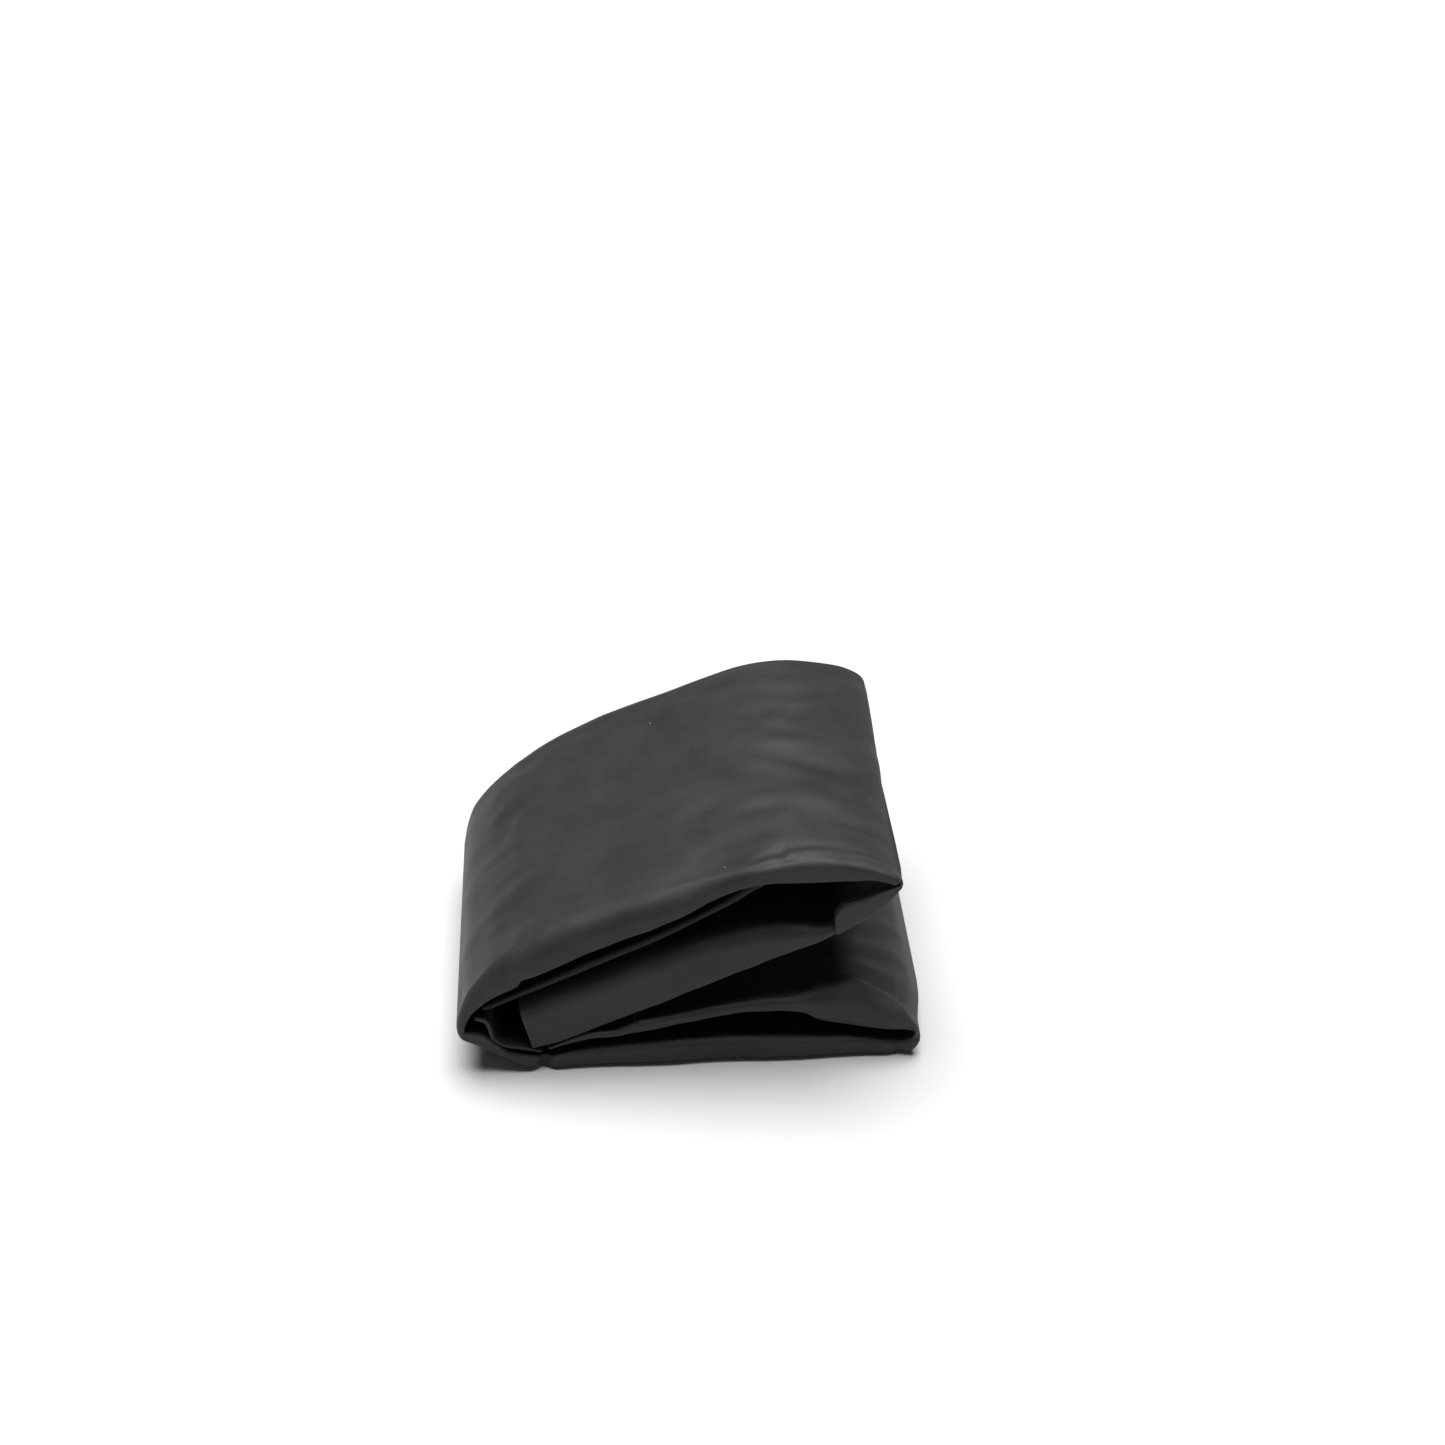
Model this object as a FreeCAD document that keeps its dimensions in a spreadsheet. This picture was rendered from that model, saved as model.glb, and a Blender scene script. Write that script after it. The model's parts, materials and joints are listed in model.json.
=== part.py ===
"""Film changing bag, folded for storage into a wedge-shaped pack.

The double bag is folded lengthwise into a strip. Both ends of the strip are folded inward as gates,
and the strip is then folded in half like a book, with its spine at -X. From the floor up the leaves
are: bottom leaf, lower gate (zips at its free end), upper gate (sleeves inside) and top leaf.

Frame: +X right, +Y back, +Z up. The origin is at the centre of the pack's footprint, on its flat base.
Every ply is a slab whose outline in the XZ plane follows its leaf, and which runs along Y.
"""
import FreeCAD, Part
import math
import os
import Sketcher

SIZES = {
    "depth": 160.0,
    "half_width": 99.0,
    "inner_inset": 12.0,
    "binding_width": 4.0,
    "binding_gap": 0.5,
    "crease_radius": 3.0,
    "crease_height": 20.0,
    "base_start": 67.0,
    "spine_lap": 4.0,
    "spine_facet_rise": 3.25,
    "lower_fold_room": 0.4,
    "bottom_thick": 11.5,
    "wrap_ply": 2.5,
    "lower_fold_radius": 6.5,
    "lower_fold_height": 8.3,
    "top_length": 196.0,
    "top_slope": 21.2,
    "top_arch": 21.0,
    "top_thick": 13.0,
    "upper_fold_radius": 5.0,
    "upper_gate_length": 172.0,
    "upper_gate_slope": 23.5,
    "upper_gate_thick": 20.0,
    "lower_gate_length": 118.0,
    "lower_gate_thick": 16.0,
    "zip_run": 140.0,
    "tape_width": 9.0,
    "tape_thick": 1.0,
    "coil_width": 5.0,
    "coil_thick": 2.0,
    "slider_length": 12.0,
    "slider_wall": 1.0,
    "slider_gap": 0.4,
    "slider_place": 50.0,
    "pull_length": 22.0,
    "pull_width": 6.0,
    "pull_thick": 1.2,
    "stop_length": 3.0,
    "outer_zip_rise": 7.5,
    "inner_zip_rise": 14.3,
    "inner_zip_slope": 8.7,
    "sleeve_width": 136.0,
    "cuff_width": 100.0,
}

# Outline of each leaf, hinge to far end. Each station is (share of the leaf's length,
# underside as a share of its rise, thickness as a share of its full thickness).
TOP_OUTLINE = [(0.04, 0.38, 0.45), (0.18, 0.82, 0.95), (0.5, 1.0, 1.0),
               (0.74, 1.0, 0.93), (0.89, 0.6, 0.85), (0.965, 0.2, 0.45), (0.993, 0.04, 0.3)]
UPPER_GATE_OUTLINE = [(0.03, -0.12, 0.22), (0.17, -0.5, 0.5), (0.35, -0.56, 0.75),
                      (0.6, -0.54, 1.0), (1.0, -0.46, 1.0)]
LOWER_GATE_OUTLINE = [(0.05, 0.28, 0.28), (0.24, 0.42, 1.0), (0.57, 0.88, 0.6),
                      (0.9, 0.7, 0.6), (1.0, 0.5, 0.45)]
BOTTOM_OUTLINE = [(0.0, 0, 0.45), (0.1, 0, 0.8), (0.3, 0, 1.0),
                  (0.75, 0, 0.92), (0.9, 0, 0.75), (0.96, 0, 0.6), (1.0, 0, 0.5)]


INNER_DEPTH = "Dim.depth - Dim.inner_inset"

# Share of the lower gate's length at which the inner zip lies.
INNER_ZIP_AT = 0.88

# The spine's inner ply, rising from the base towards the crease: (distance beyond the start of the
# flat base, height above the crease). Its first two corners rest on the spine's outer ply.
CURL_RISE = [(10, -7), (15, 5), (18.5, 5), (13, -7.4)]

# The top leaf's outer ply where it rolls round the crease: (along the leaf, above its line).
SPINE_ROLL = [(4.4, 0.6), (7, 7.5), (7.6, 13.4), (1.5, 9.5), (-1, 4.6), (2.6, 3.4)]


# ---------------------------------------------------------------- sheet and sketches

def make_sheet(doc):
    sheet = doc.addObject("Spreadsheet::Sheet", "Dim")
    for row, (alias, size) in enumerate(SIZES.items(), start=1):
        sheet.set("A%d" % row, alias)
        sheet.set("B%d" % row, str(size))
        sheet.setAlias("B%d" % row, alias)
    doc.recompute()
    return sheet


def value(doc, expression):
    return float(doc.Dim.evalExpression(expression))


def origin_plane(body, role):
    return next(plane for plane in body.Origin.OriginFeatures if plane.Role == role)


def new_body(doc, name):
    body = doc.addObject("PartDesign::Body", name)
    body.Label = name
    return body


def new_sketch(body, suffix):
    sketch = body.newObject("Sketcher::SketchObject", body.Name + suffix)
    sketch.AttachmentSupport = [(origin_plane(body, "XZ_Plane"), "")]
    sketch.MapMode = "FlatFace"
    return sketch


def bind(sketch, constraint, expression):
    index = sketch.addConstraint(constraint)
    sketch.setExpression("Constraints[%d]" % index, expression)


def polygon(body, corners, suffix="_outline"):
    """Closed outline whose corners are pairs of expressions over the sheet."""
    doc = body.Document
    sketch = new_sketch(body, suffix)
    points = [FreeCAD.Vector(value(doc, across), value(doc, up), 0) for across, up in corners]
    following = points[1:] + points[:1]
    for start, end in zip(points, following):
        sketch.addGeometry(Part.LineSegment(start, end), False)
    count = len(points)
    for index in range(count):
        sketch.addConstraint(Sketcher.Constraint("Coincident", index, 2, (index + 1) % count, 1))
    for index, (across, up) in enumerate(corners):
        bind(sketch, Sketcher.Constraint("DistanceX", -1, 1, index, 1, points[index].x), across)
        bind(sketch, Sketcher.Constraint("DistanceY", -1, 1, index, 1, points[index].y), up)
    return sketch


def pad(body, sketch, depth, suffix="_pad"):
    feature = body.newObject("PartDesign::Pad", body.Name + suffix)
    feature.Profile = sketch
    feature.SideType = "Symmetric"
    feature.setExpression("Length", depth)
    body.Tip = feature


def slab(doc, name, corners, depth, frame):
    """A ply or block: an XZ outline padded both ways along Y, then put in its leaf's frame."""
    body = new_body(doc, name)
    pad(body, polygon(body, corners), depth)
    body.Placement = frame
    return body


def rectangle(left, right, low, high):
    return [(left, low), (right, low), (right, high), (left, high)]


def leaf_frame(x, z, slope=0.0, y=0.0):
    """Frame whose own X axis rises towards +X by slope degrees."""
    turn = FreeCAD.Rotation(FreeCAD.Vector(0, -1, 0), slope)
    return FreeCAD.Placement(FreeCAD.Vector(x, y, z), turn)


# ---------------------------------------------------------------- leaves

class Leaf:
    """A leaf of the folded strip: its frame, its outline and the direction it runs in."""

    def __init__(self, doc, frame, outline, length, rise, thick, sign=1):
        self.doc = doc
        self.frame = frame
        self.outline = outline
        self.length = length
        self.rise = rise
        self.thick = thick
        self.sign = sign

    def along(self, share):
        return "%d * %s * %s" % (self.sign, self.length, share)

    def height(self, station, layer):
        """Height of a layer boundary, as a share of the thickness, at one station."""
        underside, fullness = station[1], station[2]
        return "%s * %s + %s * %s" % (self.rise, underside, self.thick, fullness * layer)

    def at(self, share):
        """The outline's own station at any share of the length, between its neighbours."""
        for near, far in zip(self.outline, self.outline[1:]):
            if near[0] <= share <= far[0]:
                mix = (share - near[0]) / (far[0] - near[0])
                return tuple(round(a + (b - a) * mix, 4) for a, b in zip(near, far))
        raise ValueError("station outside the leaf")

    def stations(self, start, end):
        inner = [station for station in self.outline if start < station[0] < end]
        return [self.at(start)] + inner + [self.at(end)]

    def ply(self, name, low, high, depth="Dim.depth", start=None, end=None, y=0.0):
        """Slab between two layer boundaries, from one share of the length to another."""
        first = self.outline[0][0] if start is None else start
        last = self.outline[-1][0] if end is None else end
        stations = self.stations(first, last)
        under = [(self.along(s[0]), self.height(s, low)) for s in stations]
        over = [(self.along(s[0]), self.height(s, high)) for s in reversed(stations)]
        frame = FreeCAD.Placement(self.frame)
        frame.Base = frame.Base + FreeCAD.Vector(0, y, 0)
        return slab(self.doc, name, under + over, depth, frame)


def panel_plies(leaf, prefix, names, wrapped=None, short_end=None, inner_end=None):
    """The four plies of the double bag in one leaf, lowest first. Outer plies run the full depth.

    The wrapped ply runs on to its fold, and the others stop at short_end, or inner_end if they are inner.
    """
    share = 1.0 / len(names)
    for layer, name in enumerate(names):
        outer = name.startswith("outer")
        end = short_end
        if name == wrapped:
            end = None
        elif inner_end and not outer:
            end = inner_end
        leaf.ply("%s_%s" % (prefix, name), layer * share, (layer + 1) * share,
                 depth="Dim.depth" if outer else INNER_DEPTH, end=end)


def back_binding(leaf, name, end):
    """Binding tape of the bag's side seam, along the back edge between the outer plies."""
    room = value(leaf.doc, "(Dim.depth - Dim.inner_inset) / 2")
    offset = room + value(leaf.doc, "Dim.binding_width / 2 + Dim.binding_gap")
    start = leaf.outline[1][0]
    leaf.ply(name, 0.25, 0.75, depth="Dim.binding_width", start=start, end=end, y=offset)


# ---------------------------------------------------------------- folds between leaves

def fold_wrap(doc, name, radius, hinge, start_angle, end_angle):
    """The outer fabric passing round a fold, as part of a ring about the fold's hinge line."""
    body = new_body(doc, name)
    sketch = new_sketch(body, "_ring")
    outer = value(doc, radius)
    inner = outer - value(doc, "Dim.wrap_ply")
    centre = FreeCAD.Vector(0, 0, 0)
    up = FreeCAD.Vector(0, 0, 1)
    start = math.radians(start_angle)
    end = math.radians(end_angle)
    for size in (outer, inner):
        sketch.addGeometry(Part.ArcOfCircle(Part.Circle(centre, up, size), start, end), False)
    rims = [sketch.getPoint(0, 1), sketch.getPoint(1, 1), sketch.getPoint(0, 2), sketch.getPoint(1, 2)]
    sketch.addGeometry(Part.LineSegment(rims[0], rims[1]), False)
    sketch.addGeometry(Part.LineSegment(rims[2], rims[3]), False)
    for line, side in ((2, 1), (3, 2)):
        sketch.addConstraint(Sketcher.Constraint("Coincident", line, 1, 0, side))
        sketch.addConstraint(Sketcher.Constraint("Coincident", line, 2, 1, side))
    sketch.addConstraint(Sketcher.Constraint("Coincident", 0, 3, -1, 1))
    sketch.addConstraint(Sketcher.Constraint("Coincident", 1, 3, -1, 1))
    bind(sketch, Sketcher.Constraint("Radius", 0, outer), radius)
    bind(sketch, Sketcher.Constraint("Radius", 1, inner), "%s - Dim.wrap_ply" % radius)
    for corner in ((2, 1), (3, 1)):
        point = sketch.getPoint(*corner)
        sketch.addConstraint(Sketcher.Constraint("DistanceX", -1, 1, corner[0], corner[1], point.x))
    pad(body, sketch, "Dim.depth")
    body.Placement = hinge
    return body


def spine_pieces(doc):
    """The outer ply from the base up to the crease, the crease itself and the plies inside it."""
    crease_x = "-(Dim.half_width - Dim.crease_radius)"
    face = [
        ("%s - Dim.crease_radius * 0.6" % crease_x, "Dim.crease_height - Dim.crease_radius * 0.5"),
        ("-Dim.base_start - 1", "0"),
        ("-Dim.base_start + Dim.spine_lap", "0"),
        ("-Dim.base_start - 1", "Dim.spine_facet_rise"),
        ("%s + Dim.crease_radius * 0.8" % crease_x, "Dim.crease_height"),
    ]
    level = leaf_frame(0, 0)
    body = slab(doc, "spine_outer_ply", face, "Dim.depth", level)
    roll = new_sketch(body, "_crease")
    centre = FreeCAD.Vector(value(doc, crease_x), value(doc, "Dim.crease_height"), 0)
    normal = FreeCAD.Vector(0, 0, 1)
    roll.addGeometry(Part.Circle(centre, normal, value(doc, "Dim.crease_radius")), False)
    bind(roll, Sketcher.Constraint("Radius", 0, 3.0), "Dim.crease_radius")
    bind(roll, Sketcher.Constraint("DistanceX", -1, 1, 0, 3, centre.x), crease_x)
    bind(roll, Sketcher.Constraint("DistanceY", -1, 1, 0, 3, centre.y), "Dim.crease_height")
    pad(body, roll, "Dim.depth", "_crease_pad")

    foot = [("-Dim.base_start + 2.5", "Dim.spine_facet_rise"),
            ("-Dim.base_start + 3.5", "Dim.spine_facet_rise + Dim.wrap_ply")]
    rise = [("-Dim.base_start - %s" % out, "Dim.crease_height + %s" % up) for out, up in CURL_RISE]
    curl = foot + rise
    slab(doc, "spine_inner_ply", curl, INNER_DEPTH, level)


# ---------------------------------------------------------------- zips

def zip_chain(doc, prefix, frame):
    """Two tapes, the coil between them and a stop at each end, lying flat along Y."""
    half_coil = "Dim.coil_width / 2"
    tapes = {"left": ("-%s - Dim.tape_width" % half_coil, "-%s" % half_coil),
             "right": (half_coil, "%s + Dim.tape_width" % half_coil)}
    for side, (left, right) in tapes.items():
        tape = rectangle(left, right, "0", "Dim.tape_thick")
        slab(doc, "%s_tape_%s" % (prefix, side), tape, "Dim.zip_run", frame)
    chain = rectangle("-" + half_coil, half_coil, "0", "Dim.coil_thick")
    slab(doc, prefix + "_coil", chain, "Dim.zip_run", frame)
    for end, side in (("front", -1), ("back", 1)):
        offset = side * value(doc, "(Dim.zip_run + Dim.stop_length) / 2")
        slab(doc, "%s_stop_%s" % (prefix, end), chain, "Dim.stop_length", moved(frame, offset))


def zip_slider(doc, prefix, frame):
    """Slider as a bridge over the coil, with its feet clear of the tapes."""
    reach = "(Dim.coil_width / 2 + Dim.slider_gap)"
    edge = "(Dim.coil_width / 2 + Dim.slider_gap + Dim.slider_wall)"
    foot = "Dim.tape_thick + Dim.slider_gap"
    roof = "Dim.coil_thick + Dim.slider_gap"
    top = roof + " + Dim.slider_wall"
    bridge = [("-" + edge, foot), ("-" + reach, foot), ("-" + reach, roof), (reach, roof),
              (reach, foot), (edge, foot), (edge, top), ("-" + edge, top)]
    slab(doc, prefix + "_slider", bridge, "Dim.slider_length", moved(frame, value(doc, "Dim.slider_place")))


def zip_pull(doc, prefix, frame, low, offset):
    """Flat pull tab of a slider, its underside at the given height."""
    tab = rectangle("-Dim.pull_width / 2", "Dim.pull_width / 2", low, "%s + Dim.pull_thick" % low)
    slab(doc, prefix + "_pull", tab, "Dim.pull_length", moved(frame, value(doc, "Dim.slider_place + " + offset)))


def moved(frame, y):
    """The same frame, further back by y."""
    return FreeCAD.Placement(frame.Base + FreeCAD.Vector(0, y, 0), frame.Rotation)


def outer_zip(doc, lower_fold):
    """The outer bag's zip beyond the lower gate's free end. Its tab lies over the slider."""
    half = value(doc, "Dim.coil_width / 2 + Dim.tape_width")
    reach = value(doc, "Dim.lower_gate_length") + half
    frame = leaf_frame(lower_fold.Base.x - reach, lower_fold.Base.z + value(doc, "Dim.outer_zip_rise"))
    zip_chain(doc, "outer_zip", frame)
    zip_slider(doc, "outer_zip", frame)
    over_slider = "Dim.coil_thick + 2 * Dim.slider_gap + Dim.slider_wall"
    zip_pull(doc, "outer_zip", frame, over_slider, "(Dim.slider_length - Dim.pull_length) / 2")


def inner_zip(doc, lower_fold):
    """The inner bag's zip between the gate's outer plies. Its tab lies along the coil, in front."""
    reach = value(doc, "Dim.lower_gate_length") * INNER_ZIP_AT
    frame = leaf_frame(lower_fold.Base.x - reach, lower_fold.Base.z + value(doc, "Dim.inner_zip_rise"),
                       value(doc, "Dim.inner_zip_slope"))
    zip_chain(doc, "inner_zip", frame)
    zip_slider(doc, "inner_zip", frame)
    over_coil = "Dim.coil_thick + Dim.slider_gap"
    zip_pull(doc, "inner_zip", frame, over_coil, "-(Dim.slider_length + Dim.pull_length) / 2")


# ---------------------------------------------------------------- assembly

def bottom_leaf(doc, lower_fold):
    length = ("(Dim.half_width + Dim.base_start - Dim.lower_fold_radius"
              " - Dim.spine_lap - Dim.lower_fold_room)")
    leaf = Leaf(doc, leaf_frame(value(doc, "-Dim.base_start + Dim.spine_lap"), 0), BOTTOM_OUTLINE,
                length, "0", "Dim.bottom_thick")
    panel_plies(leaf, "bottom_leaf",
                ["outer_back_panel", "inner_back_panel", "inner_front_panel", "outer_front_panel"],
                wrapped="outer_back_panel", short_end=0.96)
    back_binding(leaf, "bottom_leaf_seam_binding", 0.9)
    spine_pieces(doc)
    fold_wrap(doc, "lower_fold_wrap", "Dim.lower_fold_radius", lower_fold, -85, 50)


def top_leaf(doc, crease, upper_fold):
    leaf = Leaf(doc, crease, TOP_OUTLINE, "Dim.top_length", "Dim.top_arch", "Dim.top_thick")
    panel_plies(leaf, "top_leaf",
                ["outer_back_panel", "inner_back_panel", "inner_front_panel", "outer_front_panel"],
                wrapped="outer_front_panel", short_end=0.965)
    back_binding(leaf, "top_leaf_seam_binding", 0.89)
    round_spine = [(str(along), str(above)) for along, above in SPINE_ROLL]
    slab(doc, "spine_top_ply", round_spine, "Dim.depth", crease)
    fold_wrap(doc, "upper_fold_wrap", "Dim.upper_fold_radius", upper_fold, -60, 72)


def upper_gate(doc, fold):
    leaf = Leaf(doc, fold, UPPER_GATE_OUTLINE, "Dim.upper_gate_length",
                "Dim.upper_gate_thick", "Dim.upper_gate_thick", sign=-1)
    leaf.ply("upper_gate_outer_front_panel", 0, 0.13)
    leaf.ply("upper_gate_inner_front_panel", 0.13, 0.25, depth=INNER_DEPTH)
    leaf.ply("upper_gate_inner_back_panel", 0.75, 0.87, depth=INNER_DEPTH)
    leaf.ply("upper_gate_outer_back_panel", 0.87, 1)
    sleeves = [("right_sleeve_lining", "right_inner_cuff"), ("right_sleeve", "right_outer_cuff"),
               ("left_sleeve_lining", "left_inner_cuff"), ("left_sleeve", "left_outer_cuff")]
    layer = (0.75 - 0.25) / len(sleeves)
    for index, (sleeve, cuff) in enumerate(sleeves):
        low = 0.25 + layer * index
        leaf.ply(sleeve, low, low + layer, depth="Dim.sleeve_width", start=0.35, end=0.86)
        leaf.ply(cuff, low, low + layer, depth="Dim.cuff_width", start=0.86, end=0.98)


def lower_gate(doc, fold):
    leaf = Leaf(doc, fold, LOWER_GATE_OUTLINE, "Dim.lower_gate_length",
                "Dim.lower_gate_thick", "Dim.lower_gate_thick", sign=-1)
    panel_plies(leaf, "lower_gate",
                ["outer_front_panel", "inner_front_panel", "inner_back_panel", "outer_back_panel"],
                inner_end=0.76)


def build(doc):
    crease = leaf_frame(value(doc, "-(Dim.half_width - Dim.crease_radius)"),
                        value(doc, "Dim.crease_height"), value(doc, "Dim.top_slope"))
    upper_at = crease.multVec(FreeCAD.Vector(value(doc, "Dim.top_length"), 0, 0))
    lower_fold = leaf_frame(value(doc, "Dim.half_width - Dim.lower_fold_radius"),
                            value(doc, "Dim.lower_fold_height"))
    bottom_leaf(doc, lower_fold)
    lower_gate(doc, lower_fold)
    top_leaf(doc, crease, leaf_frame(upper_at.x, upper_at.z, value(doc, "Dim.top_slope")))
    upper_gate(doc, leaf_frame(upper_at.x, upper_at.z, value(doc, "Dim.upper_gate_slope")))
    outer_zip(doc, lower_fold)
    inner_zip(doc, lower_fold)


def check(doc, bodies):
    for item in doc.Objects:
        if "Invalid" in item.State or "Error" in item.State:
            raise RuntimeError("%s is %s" % (item.Label, item.State))
    for body in bodies:
        if body.Shape.isNull() or not body.Shape.isValid() or body.Shape.Volume <= 0:
            raise RuntimeError("%s has no valid solid" % body.Label)


def main():
    doc = FreeCAD.newDocument("film_changing_bag")
    make_sheet(doc)
    build(doc)
    doc.recompute()
    bodies = [item for item in doc.Objects if item.TypeId == "PartDesign::Body"]
    check(doc, bodies)
    os.makedirs("parts", exist_ok=True)
    for body in bodies:
        body.Shape.exportStep("parts/%s.step" % body.Label)
    return doc, bodies


doc, bodies = main()
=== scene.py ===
"""Looks of the folded film changing bag: its cloth leaves, inner plies, sleeves, zips and materials.

Everything is laid out in millimetres in the row's frame and written to the meshes in metres.
"""
import json
import math

import bmesh
import bpy
import numpy as np
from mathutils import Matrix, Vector, noise


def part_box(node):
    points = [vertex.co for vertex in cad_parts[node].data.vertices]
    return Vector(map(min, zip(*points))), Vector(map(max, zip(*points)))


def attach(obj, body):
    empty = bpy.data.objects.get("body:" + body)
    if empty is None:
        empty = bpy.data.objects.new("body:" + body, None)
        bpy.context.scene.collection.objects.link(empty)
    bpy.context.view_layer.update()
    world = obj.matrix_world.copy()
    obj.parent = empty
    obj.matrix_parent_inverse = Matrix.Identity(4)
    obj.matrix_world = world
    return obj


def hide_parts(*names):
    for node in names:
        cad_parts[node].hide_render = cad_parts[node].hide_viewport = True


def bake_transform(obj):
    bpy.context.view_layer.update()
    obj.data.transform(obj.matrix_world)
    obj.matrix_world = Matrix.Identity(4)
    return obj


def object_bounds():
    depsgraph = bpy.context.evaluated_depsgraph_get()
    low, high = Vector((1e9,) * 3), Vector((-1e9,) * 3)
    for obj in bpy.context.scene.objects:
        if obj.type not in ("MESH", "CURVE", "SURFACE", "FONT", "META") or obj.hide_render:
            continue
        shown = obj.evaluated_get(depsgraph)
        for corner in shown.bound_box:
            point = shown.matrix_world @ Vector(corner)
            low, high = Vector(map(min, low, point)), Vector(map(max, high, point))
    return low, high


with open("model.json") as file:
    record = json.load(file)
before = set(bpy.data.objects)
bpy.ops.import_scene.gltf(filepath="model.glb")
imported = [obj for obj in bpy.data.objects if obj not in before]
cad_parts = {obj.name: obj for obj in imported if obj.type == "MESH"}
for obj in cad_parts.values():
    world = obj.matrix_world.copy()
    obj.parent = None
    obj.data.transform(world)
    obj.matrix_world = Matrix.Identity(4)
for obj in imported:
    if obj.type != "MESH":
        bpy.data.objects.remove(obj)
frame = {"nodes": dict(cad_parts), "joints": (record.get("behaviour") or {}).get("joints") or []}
CAD_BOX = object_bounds()

MM = 0.001
PATH_STEPS = 24     # curve samples between two stations
MIN_THICK = 0.7     # least distance between a tube's two sides
MIN_LIP = 0.3       # smallest radius of a lip
LIP_STEPS = 8       # steps round a leaf's lip
LIP_RADIUS = 9.0    # largest radius of a leaf's lip
MOUTH_WALL = 1.3    # cloth left round an open mouth
MOUTH_RINGS = ((0.0, 1.0), (0.25, 1.2), (1.0, 1.5))   # share of the mouth's depth, times the wall
JOINTS = {joint["name"]: joint for joint in frame["joints"]}
LOW, HIGH = (np.array(corner) / MM for corner in CAD_BOX)
FRONT, BACK = LOW[1], HIGH[1]
CREASE, UPPER_FOLD = (np.array(JOINTS[name]["pos_m"])[[0, 2]] / MM
                      for name in ("book_fold", "upper_gate_fold"))
TOP_AXIS = (UPPER_FOLD - CREASE) / np.linalg.norm(UPPER_FOLD - CREASE)
GATE_SLOPE = math.radians(23.5)
GATE_AXIS = -np.array([math.cos(GATE_SLOPE), math.sin(GATE_SLOPE)])
GATE_UP = np.array([GATE_AXIS[1], -GATE_AXIS[0]])
TOP_UP = np.array([-TOP_AXIS[1], TOP_AXIS[0]])

# Stations along each leaf: (outer along, outer across, inner along, inner across). The top leaf is
# measured from the crease along its axis, the upper gate from its fold along its own, and the two
# lower leaves from the middle of the base.
TOP_STATIONS = [
    (-2.8, 1.5, 0.2, 1.0), (-1.2, 6, 2.2, 4.5), (3.5, 12.5, 7, 8.8), (10, 19, 13, 11.2),
    (22, 25.8, 24, 13.8), (30, 28.6, 31, 14.8), (34, 29.8, 33.8, 17.8), (38, 30.8, 38, 17.8),
    (54, 33.2, 54, 18.2), (81, 33.4, 81, 19.6), (108, 33.0, 108, 21.0), (129, 32.4, 127, 23.6),
    (149, 30.6, 143, 23.8), (168, 25.4, 163, 16), (184, 15.3, 182, 8.6), (194, 6.4, 192, 4.2),
    (198, 0.8, 196.5, 0.3)]
BOTTOM_STATIONS = [
    (98.8, 11, 96, 10.5), (98, 5, 94.5, 8.5), (94.5, 1, 91, 7), (86, 0, 84, 7.6), (72, 0, 72, 9.2),
    (53, 0, 53, 10.3), (26, 0, 26, 11.6), (-14, 0, -14, 11.5), (-47, 0, -46, 9), (-60, 0, -59, 6.6),
    (-66, 0.3, -65, 6.6), (-72, 3, -70.5, 7.4), (-80, 8.2, -77.5, 9.4), (-86, 11.6, -82.5, 14.0),
    (-92, 14.9, -88, 19.2), (-97.6, 17.8, -94, 21)]
UPPER_GATE_STATIONS = [
    (1, 0.8, 1.2, -0.6), (8, 0.2, 7, -5.5), (18, -4.5, 17, -9.9), (34, -8.6, 34, -12.2),
    (46, -3, 46, -12.1), (58, 2.8, 57, -12), (80, 7.5, 80, -13.2), (104, 10, 104, -13.2),
    (132, 9.8, 132, -13.8), (155, 10.4, 152, -13.6), (169.5, 10.8, 174, -12.0)]
LOWER_GATE_STATIONS = [
    (98.2, 13, 97, 12.2), (92, 21, 91, 12.8), (82, 28, 82, 12.8), (72, 34, 72, 13.4),
    (64, 35.6, 64, 14.6), (55, 34.4, 54, 19), (46, 33, 45, 25), (26, 31.5, 26, 26),
    (-1, 27, -1, 21.6), (-24.5, 22.6, -24.5, 17.6)]
UPPER_INNER_STATIONS = [
    (-89, 33.4, -89, 32.6), (-84, 36.2, -83, 33.6), (-70.5, 42.8, -70, 39.4),
    (-39.5, 57.6, -39, 54), (-13, 70, -12.5, 66.4), (13, 84.6, 14, 81), (26, 93.5, 27, 90.5),
    (32, 95, 32, 93)]
LOWER_INNER_STATIONS = [
    (88, 9.6, 88, 8.4), (60, 13.6, 60, 11.4), (26, 17, 26, 14), (-14, 15.6, -14, 12.6),
    (-50, 11.4, -50, 9.4)]
CURL_STATIONS = [
    (-63, 9.8, -63, 8.2), (-72, 11.8, -72, 10.2), (-79.5, 13.8, -80, 12.2), (-83.4, 17.6, -85, 17),
    (-84.6, 23, -86.4, 23), (-86.6, 27.6, -88, 26), (-92, 29.4, -92, 27.6)]
GUSSET_STATIONS = [
    (60, 76, 60.5, 65.4), (63.5, 81, 66.5, 69.2), (72, 84.2, 75, 74.6), (80, 88.2, 82, 81.6),
    (88, 91.6, 87.6, 89.6)]
TAB_STATIONS = [
    (-61, 11.6, -61, 10.4), (-51, 16.0, -51, 13.4), (-42, 18.4, -42, 15.2), (-33, 18.8, -33, 15.6),
    (-25, 21.8, -25, 17.2), (-20, 23.2, -20, 18.4)]


# ------------------------------------------------------------------ paths and tubes

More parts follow.
